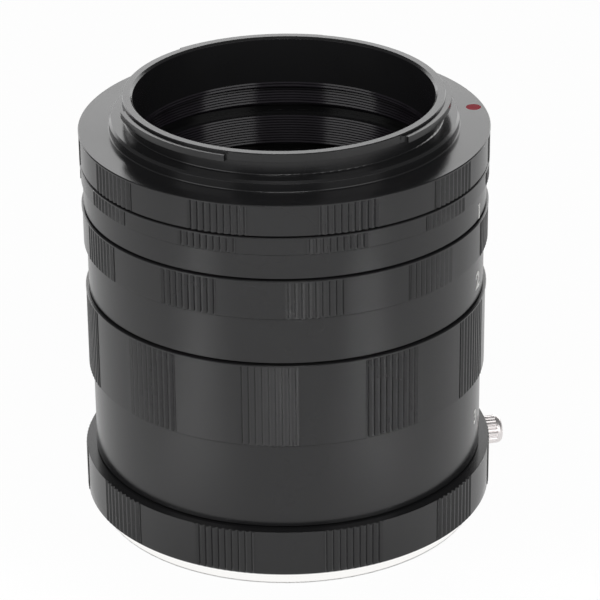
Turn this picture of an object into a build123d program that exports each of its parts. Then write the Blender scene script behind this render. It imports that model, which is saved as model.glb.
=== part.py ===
from build123d import *
import os
from math import cos, radians, sin, tan

# Macro extension tube set, screwed together and standing on its lens side, in millimetres.
# The origin is on the optical axis where a lens seats, and +Z points to the camera.
# An azimuth is in degrees from the front (-Y) towards the right (+X).

# Extension of each numbered tube
tube_1_length = 7.0
tube_2_length = 14.0
tube_3_length = 28.0

# Bayonet that goes into a camera: shoulder, undercut neck, three lugs and rim
register_r = 27.0
register_height = 1.7
register_chamfer = 0.36
register_foot_radius = 0.2
neck_inset = 2.14
neck_undercut = 0.26
neck_foot_radius = 0.2
rim_height = 5.19
rim_wall = 1.56
rim_chamfer = 0.35
rim_edge = 0.12
camera_bore_depth = 3.4
lug_reach = 0.89
lug_thickness = 1.0
lug_below_rim = 0.35
lug_span = 54.0
lug_azimuth = 73.0
lug_end_radius = 0.7
lug_count = 3

# Camera ring: its flange seats on the camera, with a sighting dot and a lock slot
flange_height = 5.2
flange_width = 4.8
flange_knurl_azimuth = 17.5
index_dot_r = 1.2
index_dot_depth = 0.5
index_dot_inset = 1.8
index_dot_azimuth = 100.6
lock_slot_width = 2.1
lock_slot_length = 3.0
lock_slot_depth = 1.6
lock_slot_inset = 2.9
lock_slot_azimuth = 164.0

# Grip ring at the top of each tube, set in from the flange, over a slimmer body
tube_1_ring_height = 2.9
tube_1_ring_inset = 0.05
tube_1_body_inset = 0.45
tube_1_knurl_azimuth = 14.35
tube_2_ring_height = 6.37
tube_2_ring_inset = 0.1
tube_2_body_inset = 0.75
tube_2_knurl_azimuth = 8.4
tube_3_ring_height = 13.7
tube_3_ring_inset = 0.25
tube_3_body_inset = 1.0
tube_3_knurl_azimuth = -5.0

# Knurled grips: ten fields of grooves with smooth lands between, under a thin lip
lip_height = 0.3
lip_relief = 0.05
land_relief = 0.15
knurl_fields = 10
grooves_in_field = 9
groove_pitch = 1.9
groove_width = 0.8
groove_depth = 0.26
ring_foot_chamfer = 0.25
edge_chamfer = 0.12

# Screwed joints between the pieces, with the threads at their mean size
bore_step = 1.0
spigot_wall = 2.1
spigot_length = 1.4
spigot_chamfer = 0.3
socket_clearance = 0.3
socket_depth = 3.5
socket_chamfer = 0.25
joint_gap = 0.28
joint_gap_depth = 0.8

# Bayonet plate that a lens turns into
plate_thickness = 2.55
plate_width = 3.45
plate_edge = 0.25
throat_clearance = 0.05
throat_chamfer = 0.2
collar_wall = 0.65
claw_relief = 0.35
claw_neck_clearance = 0.39
claw_over_register = 0.05
claw_under_lug = 0.3
claw_span = 60.0
claw_azimuth = 13.0
claw_count = 3
stop_pin_r = 0.5
stop_pin_length = 2.0
stop_pin_sunk = 0.8
stop_pin_inset = 0.65
stop_pin_from_claw_end = 3.0
lens_dot_r = 1.0
lens_dot_depth = 0.5
lens_dot_azimuth = -19.4

# Lens ring over the plate, hollow for a lens's lugs and rim
lens_ring_overhang = 2.0
lens_ring_chamfer = 0.3
lens_ring_knurl_azimuth = 18.3
collar_clearance = 0.05
cavity_clearance = 0.75
rim_room = 0.86
ledge_thickness = 0.5

# Four countersunk screws through the plate
screw_r = 0.7
screw_clearance = 0.05
screw_head_r = 1.2
screw_head_sunk = 0.05
screw_length = 5.0
screw_tip_room = 0.3
screw_azimuth = 58.0
screw_count = 4

# Lock pin, its spring and the release knob that lifts it
lock_azimuth = 103.0
lock_wall = 0.85
lock_roof = 0.85
lock_pin_r = 0.9
lock_pin_clearance = 0.04
lock_pin_tip = 0.05
lock_pin_point = 0.3
lock_head_r = 1.3
lock_head_clearance = 0.05
lock_head_rise = 2.55
lock_head_height = 2.3
lock_travel = 1.4
lock_overtravel = 0.2
spring_wire_r = 0.12
spring_turns = 4
spring_clearance = 0.1
knob_r = 2.3
knob_length = 3.0
knob_gap = 0.3
knob_dome = 0.8
knob_grooves = 24
knob_groove_depth = 0.14
knob_groove_width = 0.34
knob_knurl_margin = 0.25
stem_r = 0.75
stem_clearance = 0.01
stem_past_pin = 0.9
slot_side_clearance = 0.3
slot_end_clearance = 0.3

# How far a cut runs past the surface that it opens
cut_past = 1.0

# Radii of the bayonet, from the shoulder that fits the camera
neck_r = register_r - neck_inset
undercut_r = neck_r - neck_undercut
lug_r = neck_r + lug_reach
camera_bore_r = neck_r - rim_wall
flange_r = register_r + flange_width

# Radii of the screwed joints, from the bore outwards
tube_bore_r = camera_bore_r + bore_step
spigot_r = tube_bore_r + spigot_wall
socket_r = spigot_r + socket_clearance

# Radii of the lens side
throat_r = register_r + throat_clearance
claw_root_r = throat_r + claw_relief
collar_r = throat_r + collar_wall
plate_r = throat_r + plate_width
seat_middle_r = (throat_r + plate_r) / 2
claw_r = neck_r + claw_neck_clearance
cavity_r = lug_r + cavity_clearance
lens_ring_r = plate_r + lens_ring_overhang
stop_pin_place_r = claw_r + stop_pin_inset
stop_pin_azimuth = claw_azimuth + claw_span / 2 - stop_pin_from_claw_end
screw_hole_r = screw_r + screw_clearance
lock_bore_r = lock_head_r + lock_head_clearance
lock_place_r = socket_r + lock_wall + lock_bore_r

# Heights, from the lens seat up
claw_bottom = register_height + claw_over_register
claw_top = rim_height - lug_below_rim - lug_thickness - claw_under_lug
cavity_bottom = claw_top + collar_clearance
cavity_top = rim_height + rim_room
lens_joint = cavity_top + ledge_thickness + socket_depth
tube_3_top = lens_joint + tube_3_length
tube_2_top = tube_3_top + tube_2_length
tube_1_top = tube_2_top + tube_1_length
camera_seat = tube_1_top + flange_height
register_top = camera_seat + register_height
rim_top = camera_seat + rim_height
lug_top = rim_top - lug_below_rim
lug_bottom = lug_top - lug_thickness
lock_head_bottom = plate_thickness + lock_head_rise
lock_head_top = lock_head_bottom + lock_head_height
knob_height = (lock_head_bottom + lock_head_top) / 2
spring_ceiling = lens_joint - lock_roof

os.makedirs("parts", exist_ok=True)


def write(part, name):
    part.label = name
    export_step(part, f"parts/{name}.step")


def from_x(azimuth):
    """Turns an azimuth into the angle from +X that a polar pattern starts at."""
    return azimuth - 90


def at_azimuth(azimuth, radius, height):
    """Plane whose normal points straight out from the axis, with its x along +Z."""
    outward = Vector(sin(radians(azimuth)), -cos(radians(azimuth)), 0)
    return Plane(origin=outward * radius + Vector(0, 0, height), x_dir=(0, 0, 1), z_dir=outward)


def on_circle(corner, radius):
    """Whether a corner of a flat shape lies on a circle about the axis."""
    return abs(Vector(corner.X, corner.Y, 0).length - radius) < 0.001


def wedge(reach, span):
    """Corners of a flat wedge about the x axis, wide enough to trim a ring to one arc."""
    side = reach * tan(radians(span / 2))
    return [(reach / 2, -side / 2), (reach, -side), (reach, side), (reach / 2, side / 2)]


def spigot_end(seat, outer_r):
    """Section of a lower end, inside to outside: male thread, seat and relieved edge."""
    return [
        (tube_bore_r, seat - spigot_length),
        (spigot_r - spigot_chamfer, seat - spigot_length),
        (spigot_r, seat - spigot_length + spigot_chamfer),
        (spigot_r, seat),
        (outer_r - joint_gap_depth, seat),
        (outer_r - joint_gap_depth, seat + joint_gap),
        (outer_r, seat + joint_gap),
    ]


def socket_end(seat, outer_r):
    """Section of an upper end, outside to inside: edge, seat and female thread."""
    return [
        (outer_r, seat - edge_chamfer),
        (outer_r - edge_chamfer, seat),
        (socket_r + socket_chamfer, seat),
        (socket_r, seat - socket_chamfer),
        (socket_r, seat - socket_depth),
        (tube_bore_r, seat - socket_depth),
    ]


def knurl_cuts(bottom, crest_r, field_azimuth):
    """Flat pattern that leaves ten grooved fields on a ring of crest_r and lowers the lands."""
    field_step = 360 / knurl_fields
    field_span = grooves_in_field * groove_pitch
    first_groove = -(grooves_in_field - 1) / 2 * groove_pitch
    start = from_x(field_azimuth)
    half_mouth = groove_width / 2 * (1 + land_relief / groove_depth)
    with BuildSketch(Plane.XY.offset(bottom)) as cuts:
        with PolarLocations(0, knurl_fields, start + field_step / 2):
            Polygon(*wedge(crest_r + cut_past, field_step - field_span), align=None)
        Circle(crest_r + lip_relief - land_relief, mode=Mode.SUBTRACT)
        with PolarLocations(0, knurl_fields, start):
            with PolarLocations(
                crest_r, grooves_in_field, first_groove, -2 * first_groove, endpoint=True
            ):
                Polygon(
                    (-groove_depth, 0),
                    (land_relief, -half_mouth),
                    (land_relief, half_mouth),
                    align=None,
                )
    return cuts.sketch


# Camera ring: flange, male thread below and the camera's bayonet above, turned as one
flange_crest_r = flange_r - lip_relief
flange_knurl_bottom = tube_1_top + joint_gap
with BuildPart() as camera_ring:
    with BuildSketch(Plane.XZ):
        with BuildLine():
            outside = Polyline(
                *spigot_end(tube_1_top, flange_crest_r),
                (flange_crest_r, camera_seat - lip_height),
                (flange_r, camera_seat - lip_height),
                (flange_r, camera_seat - edge_chamfer),
                (flange_r - edge_chamfer, camera_seat),
                (register_r + register_foot_radius, camera_seat),
            )
            register_foot = RadiusArc(
                outside @ 1,
                (register_r, camera_seat + register_foot_radius),
                register_foot_radius,
            )
            shoulder = Polyline(
                register_foot @ 1,
                (register_r, register_top - register_chamfer),
                (register_r - register_chamfer, register_top),
                (undercut_r + neck_foot_radius, register_top),
            )
            neck_foot = RadiusArc(
                shoulder @ 1,
                (undercut_r, register_top + neck_foot_radius),
                neck_foot_radius,
            )
            Polyline(
                neck_foot @ 1,
                (undercut_r, lug_bottom),
                (neck_r, lug_bottom),
                (neck_r, rim_top - rim_edge),
                (neck_r - rim_edge, rim_top),
                (camera_bore_r + rim_chamfer, rim_top),
                (camera_bore_r, rim_top - rim_chamfer),
                (camera_bore_r, camera_seat - camera_bore_depth),
                (tube_bore_r, camera_seat - camera_bore_depth),
                outside @ 0,
            )
        make_face()
    revolve(axis=Axis.Z)
    with BuildSketch(Plane.XY.offset(lug_bottom)):
        with PolarLocations(0, lug_count, from_x(lug_azimuth)):
            Polygon(*wedge(register_r, lug_span), align=None)
        Circle(lug_r, mode=Mode.INTERSECT)
        Circle(neck_r)
        lug_feet = vertices().filter_by(lambda corner: on_circle(corner, neck_r))
        fillet(lug_feet, lug_end_radius)
        Circle(camera_bore_r + rim_chamfer, mode=Mode.SUBTRACT)
    extrude(amount=lug_thickness)
    extrude(
        knurl_cuts(flange_knurl_bottom, flange_crest_r, flange_knurl_azimuth),
        amount=camera_seat - lip_height - flange_knurl_bottom,
        mode=Mode.SUBTRACT,
    )
    with BuildSketch(Plane.XY.offset(camera_seat)):
        with PolarLocations(flange_r - index_dot_inset, 1, from_x(index_dot_azimuth)):
            Circle(index_dot_r)
    extrude(amount=-index_dot_depth, mode=Mode.SUBTRACT)
    with BuildSketch(Plane.XY.offset(camera_seat)):
        with PolarLocations(flange_r - lock_slot_inset, 1, from_x(lock_slot_azimuth)):
            SlotOverall(lock_slot_length, lock_slot_width)
    extrude(amount=-lock_slot_depth, mode=Mode.SUBTRACT)
write(camera_ring.part, "camera_ring")

# Sighting dot: paint that fills its recess level with the flange
with BuildPart() as index_dot:
    with BuildSketch(Plane.XY.offset(camera_seat)):
        with PolarLocations(flange_r - index_dot_inset, 1, from_x(index_dot_azimuth)):
            Circle(index_dot_r)
    extrude(amount=-index_dot_depth)
write(index_dot.part, "index_dot")


def extension_tube(name, bottom, length, ring_height, ring_inset, body_inset, knurl_azimuth):
    """One numbered tube, with its male thread below and its grip ring and socket above."""
    top = bottom + length
    ring_r = flange_r - ring_inset
    body_r = flange_r - body_inset
    crest_r = ring_r - lip_relief
    with BuildPart() as tube:
        with BuildSketch(Plane.XZ):
            with BuildLine():
                Polyline(
                    *spigot_end(bottom, body_r),
                    (body_r, top - ring_height),
                    (crest_r - ring_foot_chamfer, top - ring_height),
                    (crest_r, top - ring_height + ring_foot_chamfer),
                    (crest_r, top - lip_height),
                    (ring_r, top - lip_height),
                    *socket_end(top, ring_r),
                    close=True,
                )
            make_face()
        revolve(axis=Axis.Z)
        extrude(
            knurl_cuts(top - ring_height, crest_r, knurl_azimuth),
            amount=ring_height - lip_height,
            mode=Mode.SUBTRACT,
        )
    write(tube.part, name)


extension_tube(
    "tube_1",
    tube_2_top,
    tube_1_length,
    tube_1_ring_height,
    tube_1_ring_inset,
    tube_1_body_inset,
    tube_1_knurl_azimuth,
)
extension_tube(
    "tube_2",
    tube_3_top,
    tube_2_length,
    tube_2_ring_height,
    tube_2_ring_inset,
    tube_2_body_inset,
    tube_2_knurl_azimuth,
)
extension_tube(
    "tube_3",
    lens_joint,
    tube_3_length,
    tube_3_ring_height,
    tube_3_ring_inset,
    tube_3_body_inset,
    tube_3_knurl_azimuth,
)

# Lens ring: grooved over its whole height, hollow for a lens's lugs, bored for the lock
knob_plane = at_azimuth(lock_azimuth, lock_place_r, knob_height)
slot_top = knob_height + lock_overtravel + stem_r + slot_end_clearance
slot_bottom = knob_height - lock_travel - stem_r - slot_end_clearance
with BuildPart() as lens_ring:
    with BuildSketch(Plane.XZ):
        with BuildLine():
            Polyline(
                (collar_r + collar_clearance, plate_thickness),
                (lens_ring_r - lens_ring_chamfer, plate_thickness),
                (lens_ring_r, plate_thickness + lens_ring_chamfer),
                *socket_end(lens_joint, lens_ring_r),
                (tube_bore_r, cavity_top),
                (cavity_r, cavity_top),
                (cavity_r, cavity_bottom),
                (collar_r + collar_clearance, cavity_bottom),
                close=True,
            )
        make_face()
    revolve(axis=Axis.Z)
    extrude(
        knurl_cuts(plate_thickness, lens_ring_r, lens_ring_knurl_azimuth),
        amount=lens_joint - plate_thickness,
        mode=Mode.SUBTRACT,
    )
    with BuildSketch(Plane.XY.offset(plate_thickness)):
        with PolarLocations(seat_middle_r, screw_count, from_x(screw_azimuth)):
            Circle(screw_hole_r)
    extrude(amount=screw_length + screw_tip_room - plate_thickness, mode=Mode.SUBTRACT)
    with BuildSketch(Plane.XY.offset(plate_thickness)):
        with PolarLocations(lock_place_r, 1, from_x(lock_azimuth)):
            Circle(lock_bore_r)
    extrude(amount=spring_ceiling - plate_thickness, mode=Mode.SUBTRACT)
    with BuildSketch(knob_plane):
        with Locations(((slot_top + slot_bottom) / 2 - knob_height, 0)):
            SlotOverall(slot_top - slot_bottom, 2 * (stem_r + slot_side_clearance))
    extrude(amount=lens_ring_r - lock_place_r + cut_past, mode=Mode.SUBTRACT)
write(lens_ring.part, "lens_ring")

# Bayonet plate: the seat a lens lands on, its throat and the three claws that hold its lugs
with BuildPart() as mount_plate:
    with BuildSketch(Plane.XZ):
        with BuildLine():
            Polyline(
                (throat_r + throat_chamfer, 0),
                (plate_r - plate_edge, 0),
                (plate_r, plate_edge),
                (plate_r, plate_thickness),
                (collar_r, plate_thickness),
                (collar_r, claw_top),
                (claw_root_r, claw_top),
                (claw_root_r, claw_bottom),
                (throat_r, claw_bottom),
                (throat_r, throat_chamfer),
                close=True,
            )
        make_face()
    revolve(axis=Axis.Z)
    with BuildSketch(Plane.XY.offset(claw_bottom)):
        with PolarLocations(0, claw_count, from_x(claw_azimuth)):
            Polygon(*wedge(plate_r, claw_span), align=None)
        Circle((claw_root_r + collar_r) / 2, mode=Mode.INTERSECT)
        Circle(claw_r, mode=Mode.SUBTRACT)
    extrude(amount=claw_top - claw_bottom)
    with PolarLocations(seat_middle_r, screw_count, from_x(screw_azimuth)):
        Cylinder(
            screw_hole_r,
            plate_thickness,
            align=(Align.CENTER, Align.CENTER, Align.MIN),
            mode=Mode.SUBTRACT,
        )
        Cone(
            screw_head_r + screw_head_sunk + screw_clearance,
            screw_hole_r,
            screw_head_r + screw_head_sunk + screw_clearance - screw_hole_r,
            align=(Align.CENTER, Align.CENTER, Align.MIN),
            mode=Mode.SUBTRACT,
        )
    with BuildSketch():
        with PolarLocations(lock_place_r, 1, from_x(lock_azimuth)):
            Circle(lock_pin_r + lock_pin_clearance)
    extrude(amount=plate_thickness, mode=Mode.SUBTRACT)
    with BuildSketch():
        with PolarLocations(seat_middle_r, 1, from_x(lens_dot_azimuth)):
            Circle(lens_dot_r)
    extrude(amount=lens_dot_depth, mode=Mode.SUBTRACT)
    with BuildSketch(Plane.XY.offset(claw_top)):
        with PolarLocations(stop_pin_place_r, 1, from_x(stop_pin_azimuth)):
            Circle(stop_pin_r)
    extrude(amount=-stop_pin_sunk, mode=Mode.SUBTRACT)
write(mount_plate.part, "mount_plate")

# Stop pin: stands on one claw, where a lens's lug comes up against it
with BuildPart() as stop_pin:
    with BuildSketch(Plane.XY.offset(claw_top - stop_pin_sunk)):
        with PolarLocations(stop_pin_place_r, 1, from_x(stop_pin_azimuth)):
            Circle(stop_pin_r)
    extrude(amount=stop_pin_length)
write(stop_pin.part, "stop_pin")

# Sighting dot for the lens, under the plate
with BuildPart() as lens_index_dot:
    with BuildSketch():
        with PolarLocations(seat_middle_r, 1, from_x(lens_dot_azimuth)):
            Circle(lens_dot_r)
    extrude(amount=lens_dot_depth)
write(lens_index_dot.part, "lens_index_dot")

# Screws: countersunk heads just under the seat, shanks up into the lens ring
with BuildPart() as mount_screws:
    with BuildSketch(Plane.XY.offset(screw_head_sunk)):
        with PolarLocations(seat_middle_r, screw_count, from_x(screw_azimuth)):
            Circle(screw_r)
    extrude(amount=screw_length - screw_head_sunk)
    with PolarLocations(seat_middle_r, screw_count, from_x(screw_azimuth)):
        with Locations((0, 0, screw_head_sunk)):
            Cone(
                screw_head_r,
                screw_r,
                screw_head_r - screw_r,
                align=(Align.CENTER, Align.CENTER, Align.MIN),
            )
write(mount_screws.part, "mount_screws")

# Lock pin: runs in the plate, with a head that the spring pushes and the knob's stem crosses
pin_plane = Plane(at_azimuth(lock_azimuth, lock_place_r, 0).origin)
with BuildPart() as lock_pin:
    with BuildSketch(pin_plane.offset(lock_pin_tip)):
        Circle(lock_pin_r)
    extrude(amount=lock_head_bottom - lock_pin_tip)
    chamfer(faces().sort_by(Axis.Z)[0].edges(), lock_pin_point)
    with BuildSketch(pin_plane.offset(lock_head_bottom)):
        Circle(lock_head_r)
    extrude(amount=lock_head_height)
    with BuildSketch(knob_plane):
        Circle(stem_r + stem_clearance)
    extrude(amount=lock_head_r, both=True, mode=Mode.SUBTRACT)
write(lock_pin.part, "lock_pin")

# Lock spring: a coil of wire between the pin's head and the roof of its bore
coil_r = lock_head_r - spring_clearance - spring_wire_r
coil_rise = spring_ceiling - lock_head_top - 2 * spring_wire_r
with BuildPart() as lock_spring:
    with BuildLine():
        coil = Helix(
            coil_rise / spring_turns,
            coil_rise,
            coil_r,
            center=pin_plane.offset(lock_head_top + spring_wire_r).origin,
        )
    with BuildSketch(Plane(origin=coil @ 0, z_dir=coil % 0)):
        RegularPolygon(spring_wire_r, 6)
    sweep(is_frenet=True)
write(lock_spring.part, "lock_spring")

# Release knob: a grooved, domed head outside the lens ring on a stem through its slot
with BuildPart() as release_knob:
    with BuildSketch(knob_plane.offset(-stem_past_pin)):
        Circle(stem_r)
    extrude(amount=stem_past_pin + lens_ring_r + knob_gap - lock_place_r)
    knob_foot = knob_plane.offset(lens_ring_r + knob_gap - lock_place_r)
    with BuildSketch(knob_foot):
        Circle(knob_r)
    extrude(amount=knob_length)
    crown = edges().filter_by(GeomType.CIRCLE).sort_by(lambda edge: edge.center().length)[-1]
    fillet(crown, knob_dome)
    with BuildSketch(knob_foot.offset(knob_knurl_margin)):
        with PolarLocations(knob_r, knob_grooves):
            Polygon(
                (-knob_groove_depth, 0),
                (knob_groove_depth, -knob_groove_width),
                (knob_groove_depth, knob_groove_width),
                align=None,
            )
    extrude(amount=knob_length - knob_dome - 2 * knob_knurl_margin, mode=Mode.SUBTRACT)
write(release_knob.part, "release_knob")
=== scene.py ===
from math import cos, degrees, radians, sin, tau

import bmesh
import bpy
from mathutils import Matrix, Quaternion, Vector
from mathutils.geometry import tessellate_polygon


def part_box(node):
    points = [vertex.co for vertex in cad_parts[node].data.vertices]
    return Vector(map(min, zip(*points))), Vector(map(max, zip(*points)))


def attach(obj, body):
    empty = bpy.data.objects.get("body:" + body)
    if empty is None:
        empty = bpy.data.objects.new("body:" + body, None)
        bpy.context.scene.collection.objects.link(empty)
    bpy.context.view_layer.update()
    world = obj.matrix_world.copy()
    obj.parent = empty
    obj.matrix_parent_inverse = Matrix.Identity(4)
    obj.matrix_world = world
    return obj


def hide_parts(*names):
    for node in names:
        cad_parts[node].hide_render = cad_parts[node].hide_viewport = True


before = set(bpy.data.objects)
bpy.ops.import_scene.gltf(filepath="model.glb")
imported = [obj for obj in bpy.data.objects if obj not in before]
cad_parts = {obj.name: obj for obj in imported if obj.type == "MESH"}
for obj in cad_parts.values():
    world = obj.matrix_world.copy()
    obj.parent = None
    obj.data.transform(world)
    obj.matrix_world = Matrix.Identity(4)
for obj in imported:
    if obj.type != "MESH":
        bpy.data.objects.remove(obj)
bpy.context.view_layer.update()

# Lengths are written in millimetres, azimuths in degrees from the front towards the right
MM = 0.001

# The photograph's view: a long lens about half a metre away, leaning a little
CAMERA_ELEVATION = 25.65
CAMERA_DISTANCE = 492.9
CAMERA_ROLL = -0.556
CAMERA_AIM = (2.17, 0, 33.84)
FOCAL_PIXELS = 3111.0
PICTURE_SIDE = 600

# Sizes that the pieces made here share with the solids
CAMERA_BORE_R = 23.3
TUBE_BORE_R = 24.3
SPIGOT_R = 26.4
SPIGOT_LENGTH = 1.4
SOCKET_R = 26.7
SOCKET_DEPTH = 3.5
RIM_HEIGHT = 5.19
CAMERA_BORE_DEPTH = 3.4
SCREW_PLACE_R = 28.775
SCREW_AZIMUTHS = (58, 148, 238, 328)
SCREW_HEAD_R = 1.2
SCREW_SHANK_R = 0.7
SCREW_FOOT = 0.05
SCREW_TIP = 5.0

# Fine forms that are cut here: thread, light-baffle grooves, numerals
THREAD_PITCH = 0.75
THREAD_RISE = 0.14
THREAD_END = 0.3
THREAD_ROOT_OVERLAP = 0.03
BAFFLE_PITCH = 0.45
BAFFLE_DEPTH = 0.13
GROOVED_BELOW_SEAT = 2.5
NUMBER_RAISE = 0.03
NUMBER_STRETCH = 1.25
NUMBER_WEIGHT = 0.03


# Helpers


def hex_colour(code):
    """An sRGB hex colour as the linear colour that a shader takes."""
    parts = [int(code[i : i + 2], 16) / 255 for i in (1, 3, 5)]
    return [c / 12.92 if c <= 0.04045 else ((c + 0.055) / 1.055) ** 2.4 for c in parts] + [1]


def add_node(tree, kind, settings=(), inputs=()):
    """Adds a shader node, with its settings by name and its inputs, by name or number, set
    or linked."""
    node = tree.nodes.new("ShaderNode" + kind)
    for name, value in dict(settings).items():
        setattr(node, name, value)
    for key, value in dict(inputs).items():
        if isinstance(value, bpy.types.NodeSocket):
            tree.links.new(value, node.inputs[key])
        else:
            node.inputs[key].default_value = value
    return node


def new_material(name):
    """A node material with nothing in it but its output."""
    material = bpy.data.materials.new(name)
    material.use_nodes = True
    tree = material.node_tree
    tree.nodes.clear()
    return material, tree, tree.nodes.new("ShaderNodeOutputMaterial")


def around(radius, azimuth, height):
    """Point at a radius, azimuth and height, in metres."""
    turn = radians(azimuth)
    return Vector((radius * sin(turn), -radius * cos(turn), height)) * MM


def make_piece(name, shape, material, body, sharp_angle=35):
    """Turns a bmesh into a piece that rides on a body, smooth but for its sharp edges."""
    mesh = bpy.data.meshes.new(name)
    bmesh.ops.recalc_face_normals(shape, faces=shape.faces)
    shape.to_mesh(mesh)
    shape.free()
    mesh.shade_smooth()
    mesh.set_sharp_from_angle(angle=radians(sharp_angle))
    mesh.materials.append(material)
    piece = bpy.data.objects.new(name, mesh)
    bpy.context.scene.collection.objects.link(piece)
    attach(piece, body)
    return piece


def band(shape, lower, upper):
    """Closes two equal loops of corners with a band of faces."""
    for here, corner in enumerate(lower):
        after = (here + 1) % len(lower)
        shape.faces.new((corner, lower[after], upper[after], upper[here]))


def height_range(node):
    """Lowest and highest point of a solid."""
    low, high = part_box(node)
    return low[2] / MM, high[2] / MM


# Materials


def black_anodised_aluminium(
    name, dye_colour, worn_colour, gloss, roughness, mark_pitch, mark_depth, edge_radius
):
    """Aluminium, fine turned, etched and anodised black. The dyed oxide is nearly black head
    on and turns pale and satin where it falls away. Turning marks break its gloss a little,
    and the edges are just broken, so each one draws a thin light line."""
    material, tree, output = new_material(name)
    place = add_node(tree, "TexCoord").outputs["Object"]
    etch_scale = 1 / (0.09 * MM)
    etch = add_node(tree, "TexNoise", inputs={"Vector": place, "Scale": etch_scale, "Detail": 2.0})
    drift_scale = 1 / (14 * MM)
    drift = add_node(tree, "TexNoise", inputs={"Vector": place, "Scale": drift_scale, "Detail": 3.0})
    dye = add_node(
        tree,
        "MixRGB",
        inputs={0: drift.outputs["Fac"], 1: hex_colour(dye_colour), 2: hex_colour(worn_colour)},
    )
    rough = add_node(
        tree,
        "MapRange",
        inputs={
            "Value": drift.outputs["Fac"],
            "To Min": roughness - 0.04,
            "To Max": roughness + 0.04,
        },
    )
    marks = add_node(
        tree,
        "TexWave",
        {"wave_type": "BANDS", "bands_direction": "Z"},
        {"Vector": place, "Scale": tau / 20 / (mark_pitch * MM), "Distortion": 0.6, "Detail": 1.0},
    )
    broken_edge = add_node(tree, "Bevel", {"samples": 6}, {"Radius": edge_radius * MM})
    marked = add_node(
        tree,
        "Bump",
        inputs={
            "Height": marks.outputs["Fac"],
            "Strength": 0.5,
            "Distance": mark_depth * MM,
            "Normal": broken_edge.outputs["Normal"],
        },
    )
    etched = add_node(
        tree,
        "Bump",
        inputs={
            "Height": etch.outputs["Fac"],
            "Strength": 0.35,
            "Distance": 0.006 * MM,
            "Normal": marked.outputs["Normal"],
        },
    )
    oxide = add_node(
        tree,
        "BsdfPrincipled",
        inputs={
            "Base Color": dye.outputs[0],
            "IOR": 1.5,
            "Specular IOR Level": gloss,
            "Roughness": rough.outputs[0],
            "Normal": etched.outputs["Normal"],
        },
    )
    tree.links.new(oxide.outputs[0], output.inputs[0])
    return material


def plated_metal(name, colour, roughness, mark_pitch):
    """Bright plated or polished metal. It mirrors the white room with dark edges, a little
    broken up by fine turning and polishing marks."""
    material, tree, output = new_material(name)
    place = add_node(tree, "TexCoord").outputs["Object"]
    polish = add_node(tree, "TexNoise", inputs={"Vector": place, "Scale": 1 / (0.4 * MM), "Detail": 3.0})
    rough = add_node(
        tree,
        "MapRange",
        inputs={
            "Value": polish.outputs["Fac"],
            "To Min": roughness * 0.7,
            "To Max": roughness * 1.3,
        },
    )
    rings = add_node(
        tree,
        "TexWave",
        {"wave_type": "RINGS", "rings_direction": "Z"},
        {"Vector": place, "Scale": tau / 20 / (mark_pitch * MM), "Distortion": 0.3},
    )
    bump = add_node(
        tree,
        "Bump",
        inputs={"Height": rings.outputs["Fac"], "Strength": 0.3, "Distance": 0.002 * MM},
    )
    metal = add_node(
        tree,
        "BsdfPrincipled",
        inputs={
            "Base Color": hex_colour(colour),
            "Metallic": 1.0,
            "Roughness": rough.outputs[0],
            "Normal": bump.outputs["Normal"],
        },
    )
    tree.links.new(metal.outputs[0], output.inputs[0])
    return material


def enamel_fill(name, colour, dark_colour):
    """Enamel wiped into a recess. It is even and glossy, with a slightly uneven skin and a
    little more pigment where it lies thick."""
    material, tree, output = new_material(name)
    place = add_node(tree, "TexCoord").outputs["Object"]
    pull = add_node(tree, "TexNoise", inputs={"Vector": place, "Scale": 1 / (0.8 * MM), "Detail": 2.0})
    pigment = add_node(
        tree,
        "MixRGB",
        inputs={0: pull.outputs["Fac"], 1: hex_colour(colour), 2: hex_colour(dark_colour)},
    )
    bump = add_node(
        tree,
        "Bump",
        inputs={"Height": pull.outputs["Fac"], "Strength": 0.4, "Distance": 0.02 * MM},
    )
    enamel = add_node(
        tree,
        "BsdfPrincipled",
        inputs={
            "Base Color": pigment.outputs[0],
            "IOR": 1.5,
            "Specular IOR Level": 0.02,
            "Roughness": 0.35,
            "Normal": bump.outputs["Normal"],
        },
    )
    tree.links.new(enamel.outputs[0], output.inputs[0])
    return material


anodised = black_anodised_aluminium(
    name="black_anodised_aluminium",
    dye_colour="#1c1c1d",
    worn_colour="#222223",
    gloss=0.5,
    roughness=0.2,
    mark_pitch=0.25,
    mark_depth=0.001,
    edge_radius=0.045,
)
anodised_bore = black_anodised_aluminium(
    name="black_anodised_bore",
    dye_colour="#1e1b1f",
    worn_colour="#262329",
    gloss=0.33,
    roughness=0.14,
    mark_pitch=0.25,
    mark_depth=0.0005,
    edge_radius=0,
)
chromed_brass = plated_metal("chromed_brass", "#faf9f7", 0.12, 0.3)
knob_plating = plated_metal("bright_knob_plating", "#f4efee", 0.34, 0.3)
nickel_plate = plated_metal("nickel_plated_steel", "#c9c7c3", 0.22, 0.3)
drawn_wire = plated_metal("drawn_spring_wire", "#9d9c9a", 0.3, 0.2)
crimson_enamel = enamel_fill("crimson_enamel", "#b81330", "#8c0d27")
white_enamel = enamel_fill("white_enamel", "#f0f0ee", "#dcdcd9")

FINISHES = {
    "camera_ring": anodised,
    "tube_1": anodised,
    "tube_2": anodised,
    "tube_3": anodised,
    "lens_ring": anodised,
    "mount_plate": chromed_brass,
    "stop_pin": nickel_plate,
    "lock_pin": nickel_plate,
    "release_knob": knob_plating,
    "lock_spring": drawn_wire,
    "mount_screws": nickel_plate,
    "index_dot": crimson_enamel,
    "lens_index_dot": crimson_enamel,
}
for node, finish in FINISHES.items():
    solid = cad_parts[node]
    solid.data.materials.clear()
    solid.data.materials.append(finish)


# Threads and light-baffle grooves


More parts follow.
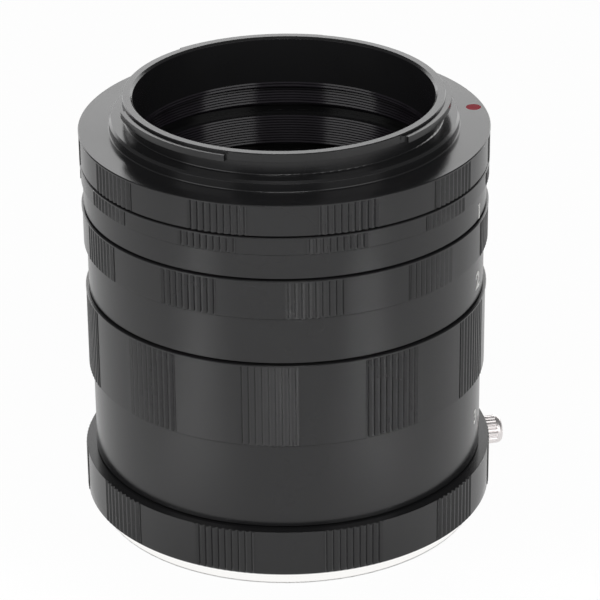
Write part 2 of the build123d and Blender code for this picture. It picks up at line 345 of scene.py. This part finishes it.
def thread_ridge(name, root_r, crest_r, bottom, top, body):
    """One turned-up helical ridge of a fine screw thread, blunt at its crest."""
    steps_per_turn = 120
    half_foot = THREAD_PITCH * 0.46
    half_crest = THREAD_PITCH * 0.06
    steps = round((top - bottom - 2 * half_foot) / THREAD_PITCH * steps_per_turn)
    section = ((root_r, -half_foot), (crest_r, -half_crest), (crest_r, half_crest), (root_r, half_foot))
    ridge = bmesh.new()
    cuts = []
    for step in range(steps + 1):
        middle = bottom + half_foot + step * THREAD_PITCH / steps_per_turn
        azimuth = 360 * step / steps_per_turn
        cuts.append([ridge.verts.new(around(radius, azimuth, middle + up)) for radius, up in section])
    for here, after in zip(cuts, cuts[1:]):
        band(ridge, here, after)
    ridge.faces.new(cuts[0])
    ridge.faces.new(cuts[-1])
    return make_piece(name, ridge, anodised_bore, body)


def baffle_grooves(name, wall_r, bottom, top, body):
    """Fine grooves turned in a tube's bore to keep stray light down, as a skin on its wall."""
    steps = 180
    count = round((top - bottom) / BAFFLE_PITCH)
    pitch = (top - bottom) / count
    skin = BAFFLE_DEPTH * 0.15
    section = []
    for groove in range(count):
        section.append((wall_r - skin, bottom + groove * pitch))
        section.append((wall_r - BAFFLE_DEPTH, bottom + (groove + 0.5) * pitch))
    section.append((wall_r - skin, top))
    section += [(wall_r + skin, top), (wall_r + skin, bottom)]
    ring = bmesh.new()
    loops = []
    for radius, height in section:
        azimuths = [360 * step / steps for step in range(steps)]
        loops.append([ring.verts.new(around(radius, azimuth, height)) for azimuth in azimuths])
    for lower, upper in zip(loops, loops[1:] + loops[:1]):
        band(ring, lower, upper)
    return make_piece(name, ring, anodised_bore, body, sharp_angle=20)


TUBES = (("tube_1", "tube_1"), ("tube_2", "tube_2"), ("tube_3", "tube_3"))
for node, body in TUBES + (("camera_ring", "camera_side"),):
    foot = height_range(node)[0]
    thread_ridge(
        node + "_male_thread",
        SPIGOT_R - THREAD_ROOT_OVERLAP,
        SPIGOT_R + THREAD_RISE,
        foot + THREAD_END,
        foot + SPIGOT_LENGTH,
        body,
    )
for node, body in TUBES + (("lens_ring", "lens_side"),):
    top = height_range(node)[1]
    thread_ridge(
        node + "_female_thread",
        SOCKET_R + THREAD_ROOT_OVERLAP,
        SOCKET_R - THREAD_RISE,
        top - SOCKET_DEPTH + THREAD_END,
        top - THREAD_END,
        body,
    )
for node, body in TUBES:
    foot, top = height_range(node)
    baffle_grooves(node + "_baffle_grooves", TUBE_BORE_R, foot, top - SOCKET_DEPTH, body)
ring_foot, ring_top = height_range("camera_ring")
seat = ring_top - RIM_HEIGHT
bore_step = seat - CAMERA_BORE_DEPTH
baffle_grooves("camera_ring_lower_grooves", TUBE_BORE_R, ring_foot, bore_step, "camera_side")
baffle_grooves(
    "camera_ring_upper_grooves", CAMERA_BORE_R, bore_step, seat - GROOVED_BELOW_SEAT, "camera_side"
)


# Numerals on the bodies of the tubes


def painted_number(node, text, azimuth, foot, height, wall_r):
    """A plain numeral in white enamel, bent round a tube's wall and just proud of it."""
    lettering = bpy.data.curves.new("lettering", "FONT")
    lettering.body = text
    lettering.resolution_u = 6
    lettering.offset = NUMBER_WEIGHT
    flat = bpy.data.objects.new("lettering", lettering)
    bpy.context.scene.collection.objects.link(flat)
    bpy.context.view_layer.update()
    outline = bpy.data.meshes.new_from_object(flat)
    bpy.data.objects.remove(flat)
    number = bmesh.new()
    number.from_mesh(outline)
    bpy.data.meshes.remove(outline)
    bmesh.ops.remove_doubles(number, verts=number.verts, dist=1e-5)
    left, right = (pick(v.co.x for v in number.verts) for pick in (min, max))
    low, high = (pick(v.co.y for v in number.verts) for pick in (min, max))
    scale = height / (high - low)
    grown = bmesh.ops.extrude_face_region(number, geom=list(number.faces))
    raised = {v for v in grown["geom"] if isinstance(v, bmesh.types.BMVert)}
    for v in number.verts:
        across = (v.co.x - (left + right) / 2) * scale * NUMBER_STRETCH
        radius = wall_r + (NUMBER_RAISE if v in raised else -NUMBER_RAISE)
        v.co = around(radius, azimuth + degrees(across / wall_r), foot + (v.co.y - low) * scale)
    return make_piece("number_" + text, number, white_enamel, node)


# Tube, numeral, azimuth, foot of the numeral, its height, radius of the wall
NUMBERS = (
    ("tube_1", "1", 71.2, 52.3, 2.4, 31.35),
    ("tube_2", "2", 73.1, 40.0, 2.8, 31.05),
    ("tube_3", "3", 74.4, 15.95, 2.3, 30.8),
)
for tube, text, azimuth, foot, height, wall_r in NUMBERS:
    painted_number(tube, text, azimuth, foot, height, wall_r)


# Screws with cross recesses, in the place of the plain ones


def add_screw(shape, azimuth):
    """One countersunk screw, head down, with a tapered cross recess in its head."""
    centre = around(SCREW_PLACE_R, azimuth, 0)
    steps = 40

    def loop(corners, height):
        return [shape.verts.new(centre + Vector((x, y, height)) * MM) for x, y in corners]

    def circle(radius, height):
        turns = [tau * step / steps for step in range(steps)]
        return loop([(radius * cos(turn), radius * sin(turn)) for turn in turns], height)

    def cross(arm, half_width, height):
        quarter = [(arm, -half_width), (arm, half_width), (half_width, half_width)]
        corners = []
        for turn in range(4):
            corners += quarter
            quarter = [(-y, x) for x, y in quarter]
        return loop(corners, height)

    head = circle(SCREW_HEAD_R, SCREW_FOOT)
    rings = [
        head,
        circle(SCREW_SHANK_R, SCREW_FOOT + SCREW_HEAD_R - SCREW_SHANK_R),
        circle(SCREW_SHANK_R, SCREW_TIP - 0.3),
        circle(SCREW_SHANK_R * 0.6, SCREW_TIP),
    ]
    for lower, upper in zip(rings, rings[1:]):
        band(shape, lower, upper)
    shape.faces.new(rings[-1])
    mouth = cross(SCREW_HEAD_R * 0.62, SCREW_HEAD_R * 0.15, SCREW_FOOT)
    bottom = cross(SCREW_HEAD_R * 0.4, SCREW_HEAD_R * 0.1, SCREW_FOOT + SCREW_HEAD_R * 0.4)
    band(shape, mouth, bottom)
    shape.faces.new(bottom)
    rim = head + mouth
    for triangle in tessellate_polygon([[v.co for v in head], [v.co for v in mouth]]):
        shape.faces.new([rim[corner] for corner in triangle])


screws = bmesh.new()
for azimuth in SCREW_AZIMUTHS:
    add_screw(screws, azimuth)
recessed_screws = make_piece("recessed_screws", screws, nickel_plate, "lens_side")
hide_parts("mount_screws")


# Stage


def white_table(name, seen_share, mirrored_share):
    """A white table. A share of what shows and of what the gloss mirrors is plain white, and
    the rest is the light that falls on it, with the object's shadow."""
    material, tree, output = new_material(name)
    path = add_node(tree, "LightPath")
    seen = add_node(
        tree,
        "Math",
        {"operation": "MULTIPLY"},
        {0: path.outputs["Is Camera Ray"], 1: seen_share},
    )
    mirrored = add_node(
        tree,
        "Math",
        {"operation": "MULTIPLY"},
        {0: path.outputs["Is Glossy Ray"], 1: mirrored_share},
    )
    share = add_node(
        tree, "Math", {"operation": "MAXIMUM"}, {0: seen.outputs[0], 1: mirrored.outputs[0]}
    )
    lit = add_node(tree, "BsdfDiffuse", inputs={"Color": hex_colour("#f2f2f2")})
    glow = add_node(tree, "Emission", inputs={"Color": (1, 1, 1, 1), "Strength": 1.0})
    table = add_node(
        tree,
        "MixShader",
        inputs={0: share.outputs[0], 1: lit.outputs[0], 2: glow.outputs[0]},
    )
    tree.links.new(table.outputs[0], output.inputs[0])
    return material


def flat_disc(name, radius, height, material):
    """A flat disc about the axis, one layer of the table under the object."""
    disc = bmesh.new()
    rim = [disc.verts.new(around(radius, azimuth, height)) for azimuth in range(0, 360, 5)]
    disc.faces.new(rim)
    mesh = bpy.data.meshes.new(name)
    disc.to_mesh(mesh)
    disc.free()
    mesh.materials.append(material)
    piece = bpy.data.objects.new(name, mesh)
    bpy.context.scene.collection.objects.link(piece)


# The table is a stack of discs a hair apart under the object: the open table, the strip that
# the bright plate mirrors, which glows fully in reflections as a painted reflection, the dark
# contact under the plate, and what shows through the bore, which glows for the camera as painted light
TABLE_R = 3000.0
TABLE_DROP = 0.01
NEAR_OBJECT_R = 34.5
UNDER_OBJECT_R = 30.4
INSIDE_BORE_R = 26.9
flat_disc("table_top", TABLE_R, -4 * TABLE_DROP, white_table("white_table", 0.97, 0.6))
# Painted reflection: near the object the table glows fully in what the gloss mirrors, brighter than the
# open table
flat_disc("table_near_object", NEAR_OBJECT_R, -3 * TABLE_DROP, white_table("painted_reflection_table", 0.97, 1))
flat_disc("table_under_object", UNDER_OBJECT_R, -2 * TABLE_DROP, white_table("shaded_table", 0, 0))
# Painted light: inside the bore the table glows for the camera, lighter than the shade it lies in
flat_disc("table_inside_bore", INSIDE_BORE_R, -TABLE_DROP, white_table("painted_glow_bore_table", 0.6, 0))

world = bpy.data.worlds.new("white_room")
bpy.context.scene.world = world
world.use_nodes = True
room = world.node_tree
backdrop = room.nodes["Background"]
backdrop.inputs["Color"].default_value = (1, 1, 1, 1)
# White where it shows, and dim as a light
ROOM_LIGHT = 0.16
seen_directly = add_node(room, "LightPath").outputs["Is Camera Ray"]
strength = add_node(room, "Math", {"operation": "MAXIMUM"}, {0: seen_directly, 1: ROOM_LIGHT})
room.links.new(strength.outputs[0], backdrop.inputs["Strength"])


def softbox(name, azimuth, elevation, distance, width, height, power):
    """A rectangular lamp that stands at an azimuth and elevation and faces the object."""
    light = bpy.data.lights.new(name, "AREA")
    light.shape = "RECTANGLE"
    light.size = width
    light.size_y = height
    light.energy = power
    lamp = bpy.data.objects.new(name, light)
    bpy.context.scene.collection.objects.link(lamp)
    middle = Vector((0, 0, 35)) * MM
    reach = distance * cos(radians(elevation)) / MM
    lamp.location = around(reach, azimuth, distance * sin(radians(elevation)) / MM)
    lamp.rotation_euler = (middle - lamp.location).to_track_quat("-Z", "Y").to_euler()
    lamp.visible_camera = False


# Name, azimuth, elevation, distance, width and height in metres, watts
softbox("softbox_left", -53, 22, 0.8, 0.52, 0.55, 1.5)
softbox("softbox_right", 44, 22, 0.8, 0.52, 0.55, 1.5)
softbox("softbox_behind", 180, 14.5, 2.56, 4.6, 1.34, 41)
softbox("softbox_front", 0, 50, 0.8, 0.3, 0.2, 1.5)


def table_spot(name, azimuth, distance, height, width, length, power):
    """A narrow lamp that looks down and makes a brighter strip of table beside the object."""
    light = bpy.data.lights.new(name, "AREA")
    light.shape = "RECTANGLE"
    light.size = width * MM
    light.size_y = length * MM
    light.energy = power
    light.spread = radians(14)
    lamp = bpy.data.objects.new(name, light)
    bpy.context.scene.collection.objects.link(lamp)
    lamp.location = around(distance, azimuth, height)
    lamp.rotation_euler.z = radians(azimuth)
    lamp.visible_camera = False


# Name, azimuth, distance, height, width and length, watts
table_spot("table_spot_left", -44, 115, 260, 25, 110, 0.026)
table_spot("table_spot_right", 42, 115, 260, 25, 110, 0.026)

# Camera
pitch = radians(CAMERA_ELEVATION)
forward = Vector((0, cos(pitch), -sin(pitch)))
view = bpy.data.cameras.new("view")
view.sensor_width = 36
view.lens = FOCAL_PIXELS / PICTURE_SIDE * view.sensor_width
view.clip_start = 0.01
view.clip_end = 20
camera = bpy.data.objects.new("view", view)
bpy.context.scene.collection.objects.link(camera)
camera.location = (Vector(CAMERA_AIM) - forward * CAMERA_DISTANCE) * MM
camera.rotation_mode = "QUATERNION"
roll = Quaternion((0, 0, 1), radians(CAMERA_ROLL))
camera.rotation_quaternion = forward.to_track_quat("-Z", "Y") @ roll
bpy.context.scene.camera = camera
bpy.context.scene.view_settings.view_transform = "Standard"
